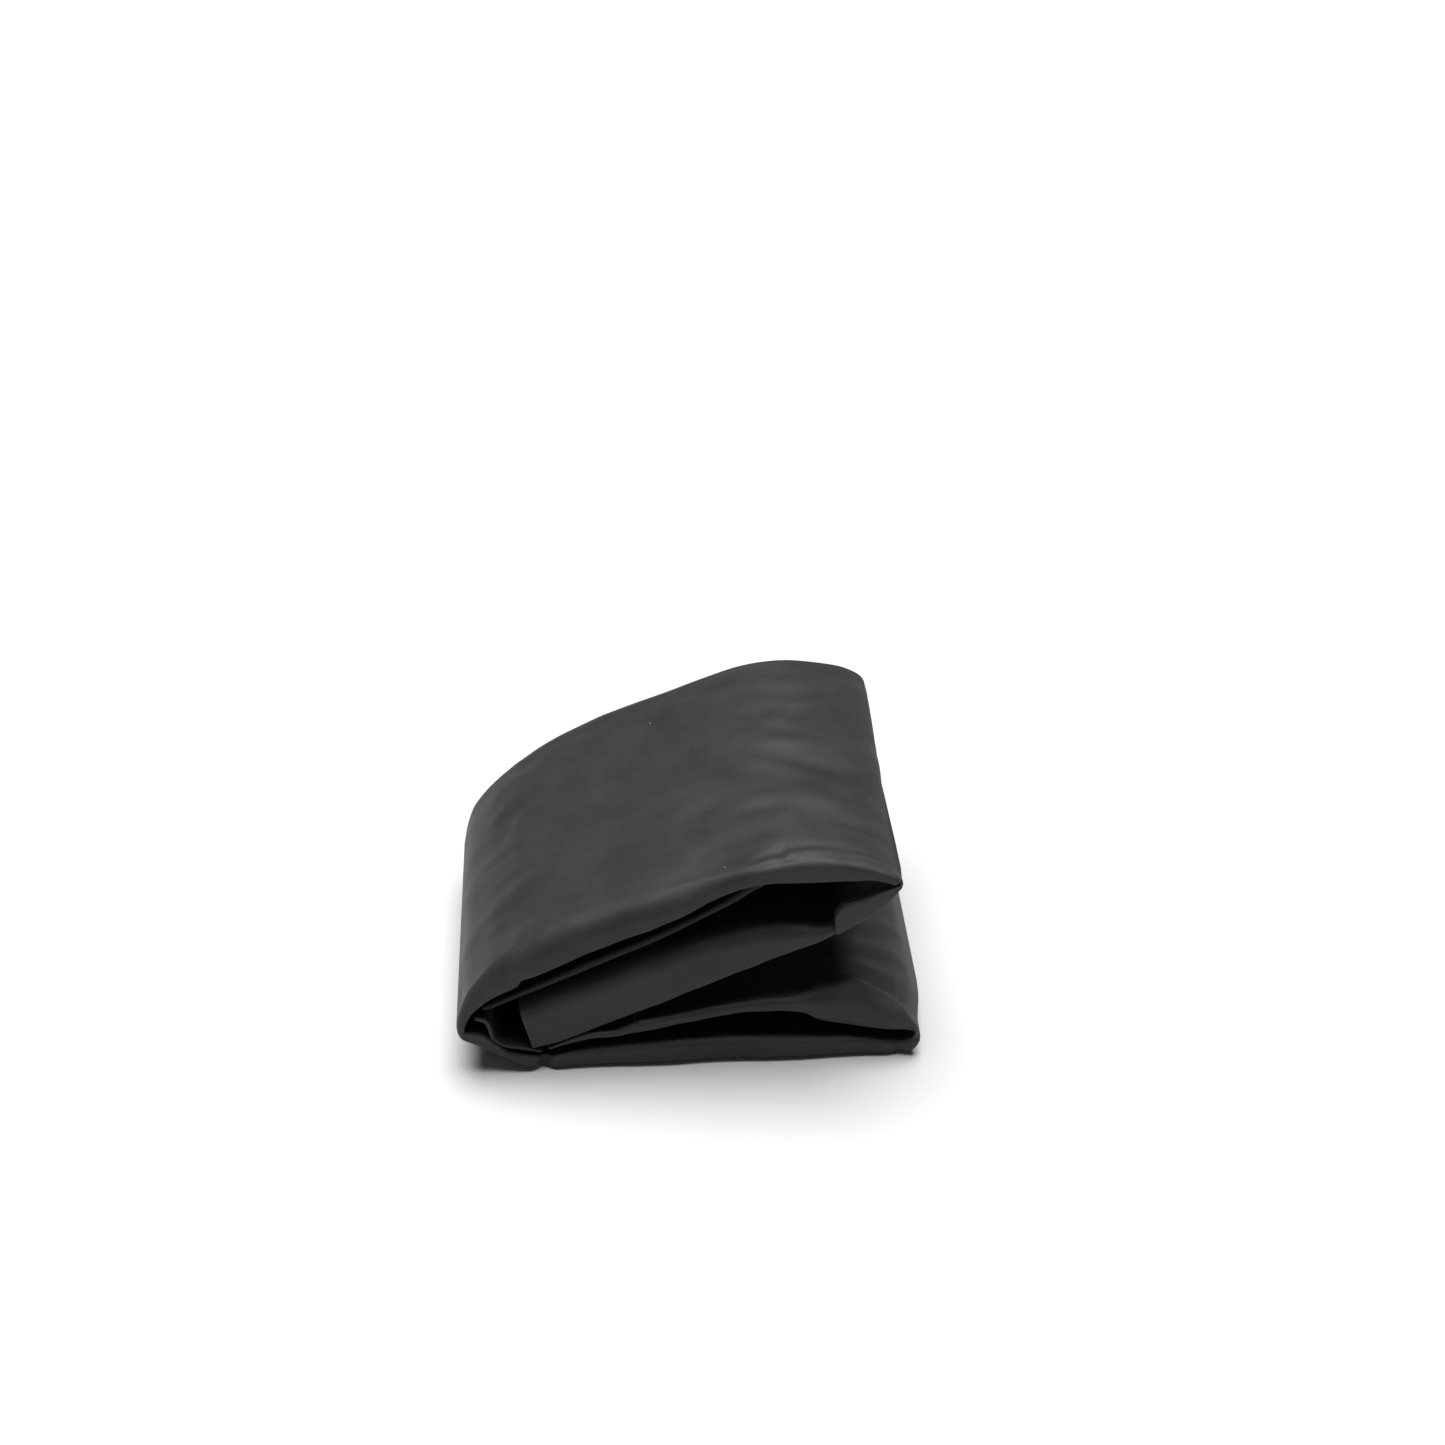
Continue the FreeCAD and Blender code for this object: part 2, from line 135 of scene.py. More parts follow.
def smooth_path(stations, count):
    """Catmull-Rom through the stations, resampled evenly along both sides."""
    knots = np.array(stations, float)
    ends = np.vstack([2 * knots[0] - knots[1], knots, 2 * knots[-1] - knots[-2]])
    fine = []
    for index in range(len(knots) - 1):
        a, b, c, d = ends[index:index + 4]
        for step in np.linspace(0, 1, PATH_STEPS, endpoint=False):
            fine.append(0.5 * (2 * b + (c - a) * step + (2 * a - 5 * b + 4 * c - d) * step ** 2
                               + (3 * b - a - 3 * c + d) * step ** 3))
    fine = np.array(fine + [knots[-1]])
    moves = np.diff(fine, axis=0)
    run = np.linalg.norm(moves[:, :2], axis=1) + np.linalg.norm(moves[:, 2:], axis=1)
    length = np.concatenate([[0], np.cumsum(run)])
    wanted = np.linspace(0, length[-1], count)
    return np.stack([np.interp(wanted, length, fine[:, k]) for k in range(4)], axis=1)


def in_row(stations, origin, way, up):
    """Stations measured along and across a leaf, as XZ positions."""
    return [(*(origin + oa * way + oc * up), *(origin + ia * way + ic * up))
            for oa, oc, ia, ic in stations]


def gate_rows(stations, count):
    """Rows along the upper gate, from stations measured from its fold."""
    return smooth_path(in_row(stations, UPPER_FOLD, GATE_AXIS, GATE_UP), count)


def inset(near, far):
    """Front and back edges this far inside the pack's."""
    return lambda x, z: (FRONT + near, BACK - far)


def lip_profile(thick, shares, steps):
    """Front lip from the outer side to the inner side: (depth, share of the thickness)."""
    big, small = (max(thick * share, MIN_LIP) for share in shares)
    upper = [(big * (1 - math.sin(a)), 1 - big / thick * (1 - math.cos(a)))
             for a in np.linspace(0, math.pi / 2, steps)]
    lower = [(small * (1 - math.cos(a)), small / thick * (1 - math.sin(a)))
             for a in np.linspace(0, math.pi / 2, max(steps // 2 + 1, 3))]
    return upper + lower


def tube(name, rows, edges, outer_steps, inner_steps, lip_steps, roundness, rounds, recess=0.0):
    """A leaf of cloth as a flattened tube: outer side, front lip, inner side and back lip.

    rounds gives each row's lip radii, outer and inner, as shares of its thickness, and the outer one
    is never over roundness. With a recess, the far end is an open mouth this deep.
    """
    mesh = bmesh.new()
    rings = []
    for (ox, oz, ix, iz), shares in zip(rows, rounds):
        outer, inner = np.array([ox, oz]), np.array([ix, iz])
        thick = max(np.linalg.norm(outer - inner), MIN_THICK)
        limited = (min(shares[0], roundness / thick), shares[1])
        lip = lip_profile(thick, limited, lip_steps)
        near, far = edges(ox, oz)
        ring = [(y, 1.0) for y in np.linspace(far - lip[0][0], near + lip[0][0], outer_steps)]
        ring += [(near + depth, level) for depth, level in lip[1:]]
        ring += [(y, 0.0) for y in np.linspace(near + lip[-1][0], far - lip[-1][0], inner_steps)[1:]]
        ring += [(far - depth, level) for depth, level in reversed(lip[1:-1])]
        rings.append([(inner + (outer - inner) * level, y, level, outer, inner, near, far, thick)
                      for y, level in ring])
    if recess:
        way = np.array(rows[-1][:2]) - np.array(rows[-4][:2])
        way /= np.linalg.norm(way)
        end = rings[-1]
        for deep, wide in MOUTH_RINGS:
            depth, wall = recess * deep, MOUTH_WALL * wide
            ring = []
            for _, y, level, outer, inner, near, far, thick in end:
                level = min(max(level, wall / thick), 1 - wall / thick)
                y = min(max(y, near + wall), far - wall)
                ring.append((inner + (outer - inner) * level - way * depth, y))
            rings.append(ring)
    made = [[mesh.verts.new((spot[0][0] * MM, spot[1] * MM, spot[0][1] * MM)) for spot in ring]
            for ring in rings]
    for near_ring, far_ring in zip(made, made[1:]):
        for k, corner in enumerate(near_ring):
            after = (k + 1) % len(near_ring)
            mesh.faces.new((corner, near_ring[after], far_ring[after], far_ring[k]))
    cap(mesh, made[0])
    cap(mesh, list(reversed(made[-1])))
    bmesh.ops.recalc_face_normals(mesh, faces=mesh.faces)
    return add_piece(name, mesh), len(made[0])


def cap(mesh, ring):
    """Closes a tube's end onto its middle."""
    middle = sum((v.co for v in ring), Vector()) / len(ring)
    centre = mesh.verts.new(middle)
    for k, corner in enumerate(ring):
        mesh.faces.new((ring[(k + 1) % len(ring)], corner, centre))


def add_piece(name, mesh):
    """A smooth-shaded object from a finished bmesh."""
    data = bpy.data.meshes.new(name)
    mesh.to_mesh(data)
    mesh.free()
    data.polygons.foreach_set("use_smooth", [True] * len(data.polygons))
    piece = bpy.data.objects.new(name, data)
    bpy.context.scene.collection.objects.link(piece)
    return piece


def get_points(piece):
    """The mesh's points in metres, one row each."""
    points = np.empty(len(piece.data.vertices) * 3)
    piece.data.vertices.foreach_get("co", points)
    return points.reshape(-1, 3)


def set_points(piece, points):
    piece.data.vertices.foreach_set("co", points.astype(np.float32).ravel())
    piece.data.update()


def get_normals(piece):
    normals = np.empty(len(piece.data.vertices) * 3)
    piece.data.vertices.foreach_get("normal", normals)
    return normals.reshape(-1, 3)


def edge_pairs(piece):
    pairs = np.empty(len(piece.data.edges) * 2, np.int32)
    piece.data.edges.foreach_get("vertices", pairs)
    return pairs.reshape(-1, 2)


# ------------------------------------------------------------------ cloth

SOFTEN_ROUNDS = 5
RELAX_FRAMES = 16
RELAX_LIMIT = 0.9   # the most that a point may move
CLOTH_SETTINGS = {
    "pin_stiffness": 1.0, "quality": 6, "mass": 0.12, "tension_stiffness": 30,
    "compression_stiffness": 30, "shear_stiffness": 8, "bending_stiffness": 1.0}
VALLEY_DEPTH, VALLEY_AT = 0.7, 1.5      # beside a streak, as shares of its height and width
STREAK_FADE = 0.25                      # share of a streak's length that each end fades over
NO_STREAK = 1e9
SEED_SHIFT = (17.3, 5.1, 9.7)           # how far a seed moves the noise
FOLD_GAIN = 3


def soften(piece, values):
    """Values at the mesh's points, each averaged with its neighbours'."""
    pairs = edge_pairs(piece)
    for _ in range(SOFTEN_ROUNDS):
        total = values.copy()
        count = np.ones((len(values), 1))
        for a, b in (pairs.T, pairs.T[::-1]):
            np.add.at(total, a, values[b])
            np.add.at(count, a, 1)
        values = total / count
    return values


def relax(piece, hold, growth):
    """Short cloth simulation, applied: the cloth grows by a share where it isn't held."""
    before = get_points(piece)
    group = piece.vertex_groups.new(name="held")
    for index, weight in enumerate(hold):
        group.add([index], float(weight), "REPLACE")
    modifier = piece.modifiers.new("cloth", "CLOTH")
    settings = modifier.settings
    settings.vertex_group_mass = "held"
    for key, setting in CLOTH_SETTINGS.items():
        setattr(settings, key, setting)
    settings.shrink_min = -growth
    settings.effector_weights.gravity = 0
    modifier.collision_settings.use_collision = False
    modifier.point_cache.frame_start = 1
    modifier.point_cache.frame_end = RELAX_FRAMES
    scene = bpy.context.scene
    for step in range(1, RELAX_FRAMES + 1):
        scene.frame_set(step)
    after = np.empty_like(before).ravel()
    result = piece.evaluated_get(bpy.context.evaluated_depsgraph_get()).to_mesh()
    result.vertices.foreach_get("co", after)
    piece.modifiers.remove(modifier)
    piece.vertex_groups.remove(group)
    scene.frame_set(1)
    move = soften(piece, after.reshape(-1, 3) - before)
    size = np.linalg.norm(move, axis=1, keepdims=True)
    cap_at = RELAX_LIMIT * MM
    move *= cap_at * np.tanh(size / cap_at) / np.maximum(size, 1e-9)
    set_points(piece, before + move)


def smoothstep(value, low, high):
    """0 up to low, 1 from high, and smooth between."""
    t = np.clip((value - low) / (high - low), 0, 1)
    return t * t * (3 - 2 * t)


def streaks(points, normals, lines, mask):
    """Soft ridges with a valley beside them, along lines on the plan: (height, width, corners)."""
    lift = np.zeros(len(points))
    for height, width, corners in lines:
        corners = np.array(corners, float)
        nearest = np.full(len(points), NO_STREAK)
        side = np.zeros(len(points))
        share = np.zeros(len(points))
        for k, (a, b) in enumerate(zip(corners, corners[1:])):
            along = b - a
            t = np.clip(((points[:, :2] - a) @ along) / (along @ along), 0, 1)
            away = points[:, :2] - a - t[:, None] * along
            far = np.linalg.norm(away, axis=1)
            closer = far < nearest
            nearest[closer] = far[closer]
            side[closer] = np.sign(along[0] * away[:, 1] - along[1] * away[:, 0])[closer]
            share[closer] = ((k + t) / (len(corners) - 1))[closer]
        q = nearest * side / width
        taper = smoothstep(share, 0, STREAK_FADE) * (1 - smoothstep(share, 1 - STREAK_FADE, 1))
        valley = VALLEY_DEPTH * np.exp(-(q - VALLEY_AT) ** 2)
        lift += height * taper * (np.exp(-q ** 2) - valley)
    points += normals * (lift * mask)[:, None]


def ripples(points, normals, scale, height, mask, seed, stretch=(1, 1, 1)):
    """Uneven swells of the cloth, from gradient noise at this scale in millimetres."""
    offset = Vector([seed * shift for shift in SEED_SHIFT])
    places = points * np.array(stretch) / scale
    swell = np.array([noise.noise(Vector(place) + offset) for place in places])
    points += normals * (swell * height * mask)[:, None]


def ripple_piece(piece, scale, height, seed):
    """Ripples over a whole piece."""
    points = get_points(piece) / MM
    ripples(points, get_normals(piece), scale, height, np.ones(len(points)), seed)
    set_points(piece, points * MM)


def mark_cloth(piece, count):
    """Thread places in millimetres and how sharply each point is folded, for the cloth materials,
    which paint sharp convex folds paler as a painted highlight.
    """
    data = piece.data
    points = get_points(piece) / MM
    grid = points[:len(points) // count * count].reshape(-1, count, 3)
    around = np.cumsum(np.linalg.norm(np.diff(grid, axis=1, prepend=grid[:, :1]), axis=2), axis=1)
    first = grid[:, :1]
    along = np.cumsum(np.linalg.norm(np.diff(first, axis=0, prepend=first[:1]), axis=2), axis=0)
    threads = np.zeros_like(points)
    threads[:grid.shape[0] * count, 0] = around.ravel()
    threads[:grid.shape[0] * count, 1] = np.repeat(along, count, axis=1).ravel()
    layer = data.attributes.new("threads", "FLOAT_VECTOR", "POINT")
    layer.data.foreach_set("vector", threads.astype(np.float32).ravel())
    pairs = edge_pairs(piece)
    normals = get_normals(piece)
    sharp = np.zeros(len(points))
    shares = np.zeros(len(points))
    for a, b in ((pairs[:, 0], pairs[:, 1]), (pairs[:, 1], pairs[:, 0])):
        way = points[b] - points[a]
        size = np.maximum(np.linalg.norm(way, axis=1), 1e-6)
        np.add.at(sharp, a, -np.einsum("ij,ij->i", way, normals[a]) / size)
        np.add.at(shares, a, 1)
    sharp = np.clip(sharp / np.maximum(shares, 1) * FOLD_GAIN, 0, 1)
    layer = data.attributes.new("fold", "FLOAT", "POINT")
    layer.data.foreach_set("value", sharp.astype(np.float32))


# ------------------------------------------------------------------ materials

# The fold amount here paints convex folds paler: a painted highlight along the cloth's ridges.
WEAVE_SHADE, GRAIN_SHADE, CLOUD_SHADE, FOLD_HIGHLIGHT, SHADE_DROP = 0.08, 0.22, 0.75, 0.45, 0.2
WEAVE_RELIEF, GRAIN_RELIEF = 0.5, 1.2
CLOTH_GLOSS_SWING, CLOTH_SHEEN_ROUGHNESS, CLOTH_SPECULAR = 0.16, 0.45, 0.28
LINT_SCALE, LINT_SIZE, LINT_COLOUR = 0.045, 0.017, (0.4, 0.4, 0.4, 1)
RIB_PITCH, LOOP_PITCH, ELASTIC_RELIEF = 1.6, 0.9, 0.12
SCUFF_LEVEL, SCUFF_SHADE, SCUFF_GLOSS = 0.66, 0.5, 0.3


class Nodes:
    """Short names for building one material's node tree."""

    def __init__(self, name):
        self.material = bpy.data.materials.new(name)
        self.material.use_nodes = True
        self.tree = self.material.node_tree
        self.shader = self.tree.nodes["Principled BSDF"]

    def add(self, kind, inputs=(), **settings):
        node = self.tree.nodes.new("ShaderNode" + kind)
        for key, setting in settings.items():
            setattr(node, key, setting)
        for key, source in dict(inputs).items():
            self.feed(node.inputs[key], source)
        return node

    def feed(self, socket, source):
        if isinstance(source, bpy.types.NodeSocket):
            self.tree.links.new(source, socket)
        else:
            socket.default_value = source

    def math(self, operation, *values):
        return self.add("Math", enumerate(values), operation=operation).outputs[0]

    def clamp(self, value):
        return self.add("Clamp", {0: value}).outputs[0]

    def noise(self, vector, scale, detail=2.0, roughness=0.5):
        return self.add("TexNoise", {"Vector": vector, "Scale": scale, "Detail": detail,
                                     "Roughness": roughness}).outputs["Fac"]

    def stretched(self, vector, scale):
        return self.add("VectorMath", {0: vector, 1: scale}, operation="MULTIPLY").outputs[0]

    def mix(self, factor, a, b):
        node = self.add("Mix", data_type="RGBA")
        sockets = {socket.identifier: socket for socket in (*node.inputs, *node.outputs)}
        self.feed(sockets["Factor_Float"], factor)
        self.feed(sockets["A_Color"], a)
        self.feed(sockets["B_Color"], b)
        return sockets["Result_Color"]

    def bump(self, height, depth):
        node = self.add("Bump", {"Height": height, "Strength": 1.0, "Distance": depth * MM})
        self.feed(self.shader.inputs["Normal"], node.outputs[0])

    def plain(self, **values):
        """Plain settings of the shader, with _ for each space in a name."""
        for key, setting in values.items():
            self.shader.inputs[key.replace("_", " ")].default_value = setting


def cloth_material(name, dark, light, pitch, rough, depth, sheen=0.0, twill=False, lint=True):
    """Woven cloth: crossing threads, slubs, uneven shade, a painted highlight along convex folds and
    a little lint.
    """
    n = Nodes(name)
    threads = n.add("Attribute", attribute_name="threads").outputs["Vector"]
    fold = n.add("Attribute", attribute_name="fold").outputs["Fac"]
    parts = n.add("SeparateXYZ", {0: threads}).outputs
    turn = 2 * math.pi / pitch
    if twill:
        weave = n.math("SINE", n.math("MULTIPLY", n.math("ADD", parts[0], parts[1]), turn))
    else:
        weave = n.math("MULTIPLY", n.math("SINE", n.math("MULTIPLY", parts[0], turn)),
                       n.math("SINE", n.math("MULTIPLY", parts[1], turn)))
    slub = n.noise(n.stretched(threads, (0.25, 2.2, 1.0)), 0.7, 3.0)
    cloud = n.noise(threads, 0.035, 4.0, 0.6)
    grain = n.noise(threads, 1.6, 2.0)
    shade = n.math("MULTIPLY", n.math("ADD", slub, grain), GRAIN_SHADE)
    shade = n.math("MULTIPLY_ADD", cloud, CLOUD_SHADE, shade)
    # Sharply folded convex points are painted paler here: a painted highlight along the ridges.
    shade = n.math("MULTIPLY_ADD", fold, FOLD_HIGHLIGHT, n.math("SUBTRACT", shade, SHADE_DROP))
    shade = n.math("MULTIPLY_ADD", weave, WEAVE_SHADE, shade)
    colour = n.mix(n.clamp(shade), (*dark, 1), (*light, 1))
    if lint:
        cells = n.add("TexVoronoi", {"Vector": threads, "Scale": LINT_SCALE}).outputs["Distance"]
        colour = n.mix(n.math("LESS_THAN", cells, LINT_SIZE), colour, LINT_COLOUR)
    n.feed(n.shader.inputs["Base Color"], colour)
    n.feed(n.shader.inputs["Roughness"],
           n.math("MULTIPLY_ADD", cloud, CLOTH_GLOSS_SWING, rough - CLOTH_GLOSS_SWING / 2))
    relief = n.math("MULTIPLY", n.math("ADD", slub, grain), GRAIN_RELIEF)
    relief = n.math("MULTIPLY_ADD", weave, WEAVE_RELIEF, relief)
    n.bump(relief, depth)
    n.plain(Sheen_Weight=sheen, Sheen_Roughness=CLOTH_SHEEN_ROUGHNESS,
            Specular_IOR_Level=CLOTH_SPECULAR)
    return n.material


def elastic_material(name, dark, light):
    """Ribbed knitted elastic."""
    n = Nodes(name)
    threads = n.add("Attribute", attribute_name="threads").outputs["Vector"]
    parts = n.add("SeparateXYZ", {0: threads}).outputs
    ribs = n.math("SINE", n.math("MULTIPLY", parts[1], 2 * math.pi / RIB_PITCH))
    loops = n.math("SINE", n.math("MULTIPLY", parts[0], 2 * math.pi / LOOP_PITCH))
    grain = n.noise(threads, 1.2, 3.0)
    shade = n.math("MULTIPLY_ADD", ribs, 0.3, n.math("MULTIPLY", grain, 0.8))
    n.feed(n.shader.inputs["Base Color"], n.mix(n.clamp(shade), (*dark, 1), (*light, 1)))
    n.feed(n.shader.inputs["Roughness"], n.math("MULTIPLY_ADD", grain, 0.15, 0.75))
    n.bump(n.math("MULTIPLY_ADD", loops, 0.3, ribs), ELASTIC_RELIEF)
    n.plain(Sheen_Weight=0.25)
    return n.material


def hard_material(name, dark, light, rough, depth, metallic=0.0, coat=0.0):
    """Moulded plastic or painted metal: fine texture, uneven shade, scuffs."""
    n = Nodes(name)
    place = n.add("TexCoord").outputs["Object"]
    cloud = n.noise(place, 90.0, 4.0, 0.6)
    scuff = n.noise(n.stretched(place, (1.0, 0.15, 1.0)), 1500.0, 3.0)
    grain = n.noise(place, 4000.0, 2.0)
    marks = n.math("MULTIPLY", n.math("GREATER_THAN", scuff, SCUFF_LEVEL), SCUFF_SHADE)
    colour = n.mix(n.math("ADD", n.math("MULTIPLY", cloud, 0.6), marks), (*dark, 1), (*light, 1))
    n.feed(n.shader.inputs["Base Color"], colour)
    n.feed(n.shader.inputs["Roughness"],
           n.math("MULTIPLY_ADD", scuff, SCUFF_GLOSS, rough - SCUFF_GLOSS / 2))
    n.bump(n.math("MULTIPLY_ADD", scuff, 0.5, grain), depth)
    n.plain(Metallic=metallic, Coat_Weight=coat)
    return n.material


INK = (0.006, 0.006, 0.0066)
CHARCOAL = (0.022, 0.022, 0.024)
MATERIALS = {
    "coated_nylon": cloth_material("coated_nylon", (0.009, 0.0091, 0.0098), (0.040, 0.0405, 0.0435),
                                   pitch=0.62, rough=0.5, depth=0.05, sheen=0.03),
    # The lining cloth is far darker than the outer cloth: its own black plus painted shade for the
    # dark inside of the pack.
    "lining_nylon": cloth_material("lining_nylon", (0.0035, 0.0035, 0.004), (0.010, 0.010, 0.011),
                                   pitch=0.5, rough=0.7, depth=0.04, lint=False),
    "binding": cloth_material("binding", INK, CHARCOAL, pitch=1.1, rough=0.8, depth=0.12,
                              sheen=0.2, twill=True, lint=False),
    "zip_tape": cloth_material("zip_tape", INK, CHARCOAL, pitch=0.9, rough=0.78, depth=0.1,
                               sheen=0.15, twill=True, lint=False),
    "elastic": elastic_material("elastic", (0.004, 0.004, 0.0045), CHARCOAL),
    "zip_coil": hard_material("zip_coil", (0.006, 0.006, 0.0065), CHARCOAL, rough=0.42, depth=0.004),
    "zip_metal": hard_material("zip_metal", (0.012, 0.012, 0.013), (0.07, 0.07, 0.075), rough=0.38,
                               depth=0.004, metallic=0.6, coat=0.3),
}


def dress(piece, slot):
    """The piece's material and the record's slot it takes its finish from."""
    piece.data.materials.clear()
    piece.data.materials.append(MATERIALS[slot])


def settle(piece, count, slot, body=None, nodes=(), smooth=1, across=None):
    """Last steps for a cloth piece: thread directions, material, subdivision, body and CAD nodes."""
    mark_cloth(piece, count)
    dress(piece, slot)
    if smooth:
        modifier = piece.modifiers.new("smooth", "SUBSURF")
        modifier.levels = modifier.render_levels = smooth
    if across:
        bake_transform(piece)
    else:
        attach(piece, body)
    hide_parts(*nodes)


# ------------------------------------------------------------------ cloth pieces

# The wrap's back edge on the plan, and the notches in its front edge, below a height, as
# (x, depth, width).
WRAP_BACK = [(-99, 56), (-97.5, 61), (-94, 66.5), (-88, 69), (-70, 72.5), (-53, 77), (-34, 81),
             (-15, 81.8), (20, 80.5), (60, 82), (78, 83), (86, 80.5), (90, 74)]
FRONT_REACH = 14.0
NOTCH_TOP = 12.0
NOTCHES = [(-63.5, 4.0, 2.4), (90.0, 2.6, 1.5)]
EDGE_WAVE = 0.4             # the front edge's slow wave
BOTTOM_ROWS, TOP_ROWS = 84, 104
WRAP_OUTER, WRAP_INNER = 76, 36     # steps across the wrap's outer and inner sides
TOP_FROM = 88               # first row of the wrap that counts as the top leaf
BOOK_BEND = (17.5, 23.5)    # heights between which the spine turns
GATE_OUTER = 70             # steps across a gate's outer side
GATE_FRONT_GAP, GATE_BACK_GAP, GATE_BACK_MOST = 0.6, 1.0, 79.0
GATE_MOUTH = 22.0
GATE_BEND = 12              # length of the upper gate that turns at its fold
PLY_RIPPLE = 26
SLEEVE_RIPPLE = (20, 0.4)
TAPE_RIPPLE = (22, 0.05, 21)
TAB_RIPPLE = (9, 0.3)
SLEEVE_ROWS, CUFF_ROWS = 30, 26
SLEEVE_GAP, LINING_GAP, CUFF_GAP = 12.5, 14.0, 30
CUFF_AT, CUFF_LENGTH = 147.5, 22
PLEAT_PITCH, PLEAT_HEIGHT = 4.2, 0.55
BINDING_ROWS, BINDING_HALF, BINDING_IN, BINDING_OUT = 110, 2.1, 5.0, 1.1


def wrap_edges(x, z):
    """Front and back edges of the folded pack in plan: the back corners are rounded off."""
    back = np.interp(x, *zip(*WRAP_BACK))
    front = FRONT + EDGE_WAVE * math.sin(x * 0.11) + EDGE_WAVE
    if z < NOTCH_TOP:
        front += sum(depth * math.exp(-((x - at) / width) ** 2) for at, depth, width in NOTCHES)
    return front, back


def place(x, z):
    """A point on the pack's middle plane, in metres."""
    return (x * MM, 0.0, z * MM)


def row_and_ring(points, count, rows):
    """Each point's row, the caps' points on the last, and its place round the ring."""
    index = np.arange(len(points))
    return np.minimum(index // count, len(rows) - 1), index % count


WRAP_STREAKS = [
    (0.90, 2.4, [(24, -79), (33, -74.5), (50, -71.5), (68, -71.5), (84, -76)]),
    (0.60, 2.0, [(39, -79), (41, -75), (42, -70), (44, -64)]),
    (0.40, 5.0, [(9, 8), (44, -9), (74, -21), (88, -44)]),
    (0.32, 4.5, [(30, 14), (66, 8), (86, -8)]),
    (0.32, 4.0, [(52, -30), (72, -36), (86, -56)]),
    (0.29, 3.5, [(56, -50), (74, -54), (88, -70)]),
    (0.32, 4.5, [(40, 56), (64, 60), (88, 68)]),
    (0.29, 4.0, [(44, 36), (66, 46), (88, 54)]),
    (0.32, 6.0, [(-93, 44), (-78, 52), (-51, 58), (-15, 70), (10, 73)]),
    (0.18, 6.0, [(-54, 42), (-20, 25), (12, 8)]),
    (0.18, 7.0, [(-43, 62), (-8, 43), (35, 31)]),
    (0.18, 6.0, [(-86, 10), (-60, 22), (-35, 26)]),
    (0.22, 7.0, [(-70, -50), (-30, -48), (20, -52)]),
    (0.18, 5.0, [(-88, -30), (-60, -34), (-30, -26)]),
]
GATE_STREAKS = [
    (0.80, 2.4, [(44, -79), (54, -73), (70, -71), (84, -73), (94, -78)]),
    (0.45, 4.0, [(92, -60), (78, -58), (55, -62)]),
    (0.50, 4.5, [(94, -40), (80, -42), (50, -50)]),
    (0.50, 5.0, [(94, -16), (76, -24), (40, -34)]),
    (0.40, 5.0, [(92, 10), (70, 4), (30, -8)]),
    (0.30, 4.0, [(70, -70), (30, -66), (-10, -68)]),
]


def front_share(points):
    """1 at the front lip, 0 from a reach behind it."""
    return 1 - smoothstep(points[:, 1], FRONT, FRONT + FRONT_REACH)


def make_wrap():
    """Bottom leaf, spine and top leaf of the outer bag: one cloth carried round the book hinge."""
    bottom = np.array(BOTTOM_STATIONS, float)
    top = np.array(in_row(TOP_STATIONS, CREASE, TOP_AXIS, TOP_UP))
    rows = np.vstack([smooth_path(bottom, BOTTOM_ROWS), smooth_path(top, TOP_ROWS)])
    rounds = [(0.14 + 0.2 * float(smoothstep(x, -66, -48)),) * 2 for x in rows[:BOTTOM_ROWS, 0]]
    rounds += [(0.72 - 0.34 * float(smoothstep(x, 0, 40)), 0.12) for x in rows[BOTTOM_ROWS:, 0]]
    piece, count = tube("outer_bag_wrap", rows, wrap_edges, WRAP_OUTER, WRAP_INNER, LIP_STEPS,
                        LIP_RADIUS, rounds)
    points = get_points(piece) / MM
    normals = get_normals(piece)
    row, ring = row_and_ring(points, count, rows)
    on_top = row > TOP_FROM
    outside = ((ring < WRAP_OUTER) & on_top).astype(float)
    streaks(points, normals, WRAP_STREAKS, outside)
    ripples(points, normals, scale=46, height=1.1, mask=outside, seed=1, stretch=(1, 1.5, 1))
    ripples(points, normals, scale=15, height=0.35, mask=outside, seed=2, stretch=(0.7, 1.5, 0.7))
    lips = front_share(points) * smoothstep(points[:, 0], -96, -80) * (0.25 + 0.75 * on_top)
    ripples(points, normals, scale=30, height=1.3, mask=lips, seed=3)
    ripples(points, normals, scale=11, height=0.45, mask=lips, seed=4)
    points[:, 2] = np.maximum(points[:, 2], 0.0)
    # The top leaf's right end reaches further out towards the back.
    right = smoothstep(points[:, 0], 70, 88) * on_top
    points[:, 0] += right * (2.4 * smoothstep(points[:, 1], -10, 60) - 0.8)
    set_points(piece, points * MM)
    # The simulation moves only the middle of the top leaf: its lips and ends are held.
    inside = outside * smoothstep(points[:, 1], FRONT, FRONT + 16)
    inside = inside * smoothstep(-points[:, 1], -80, -62)
    inside *= smoothstep(points[:, 0], -95, -80) * smoothstep(-points[:, 0], -88, -74)
    relax(piece, 1 - inside, growth=0.006)
    settle(piece, count, "coated_nylon", nodes=(
        "bottom_leaf_outer_back_panel", "bottom_leaf_outer_front_panel", "spine_outer_ply",
        "lower_fold_wrap", "bottom_leaf_inner_back_panel", "spine_top_ply",
        "top_leaf_outer_back_panel", "top_leaf_outer_front_panel", "upper_fold_wrap",
        "top_leaf_inner_back_panel"),
        across=("bottom_leaf", "top_leaf", *(place(LOW[0], height) for height in BOOK_BEND)))
    return piece


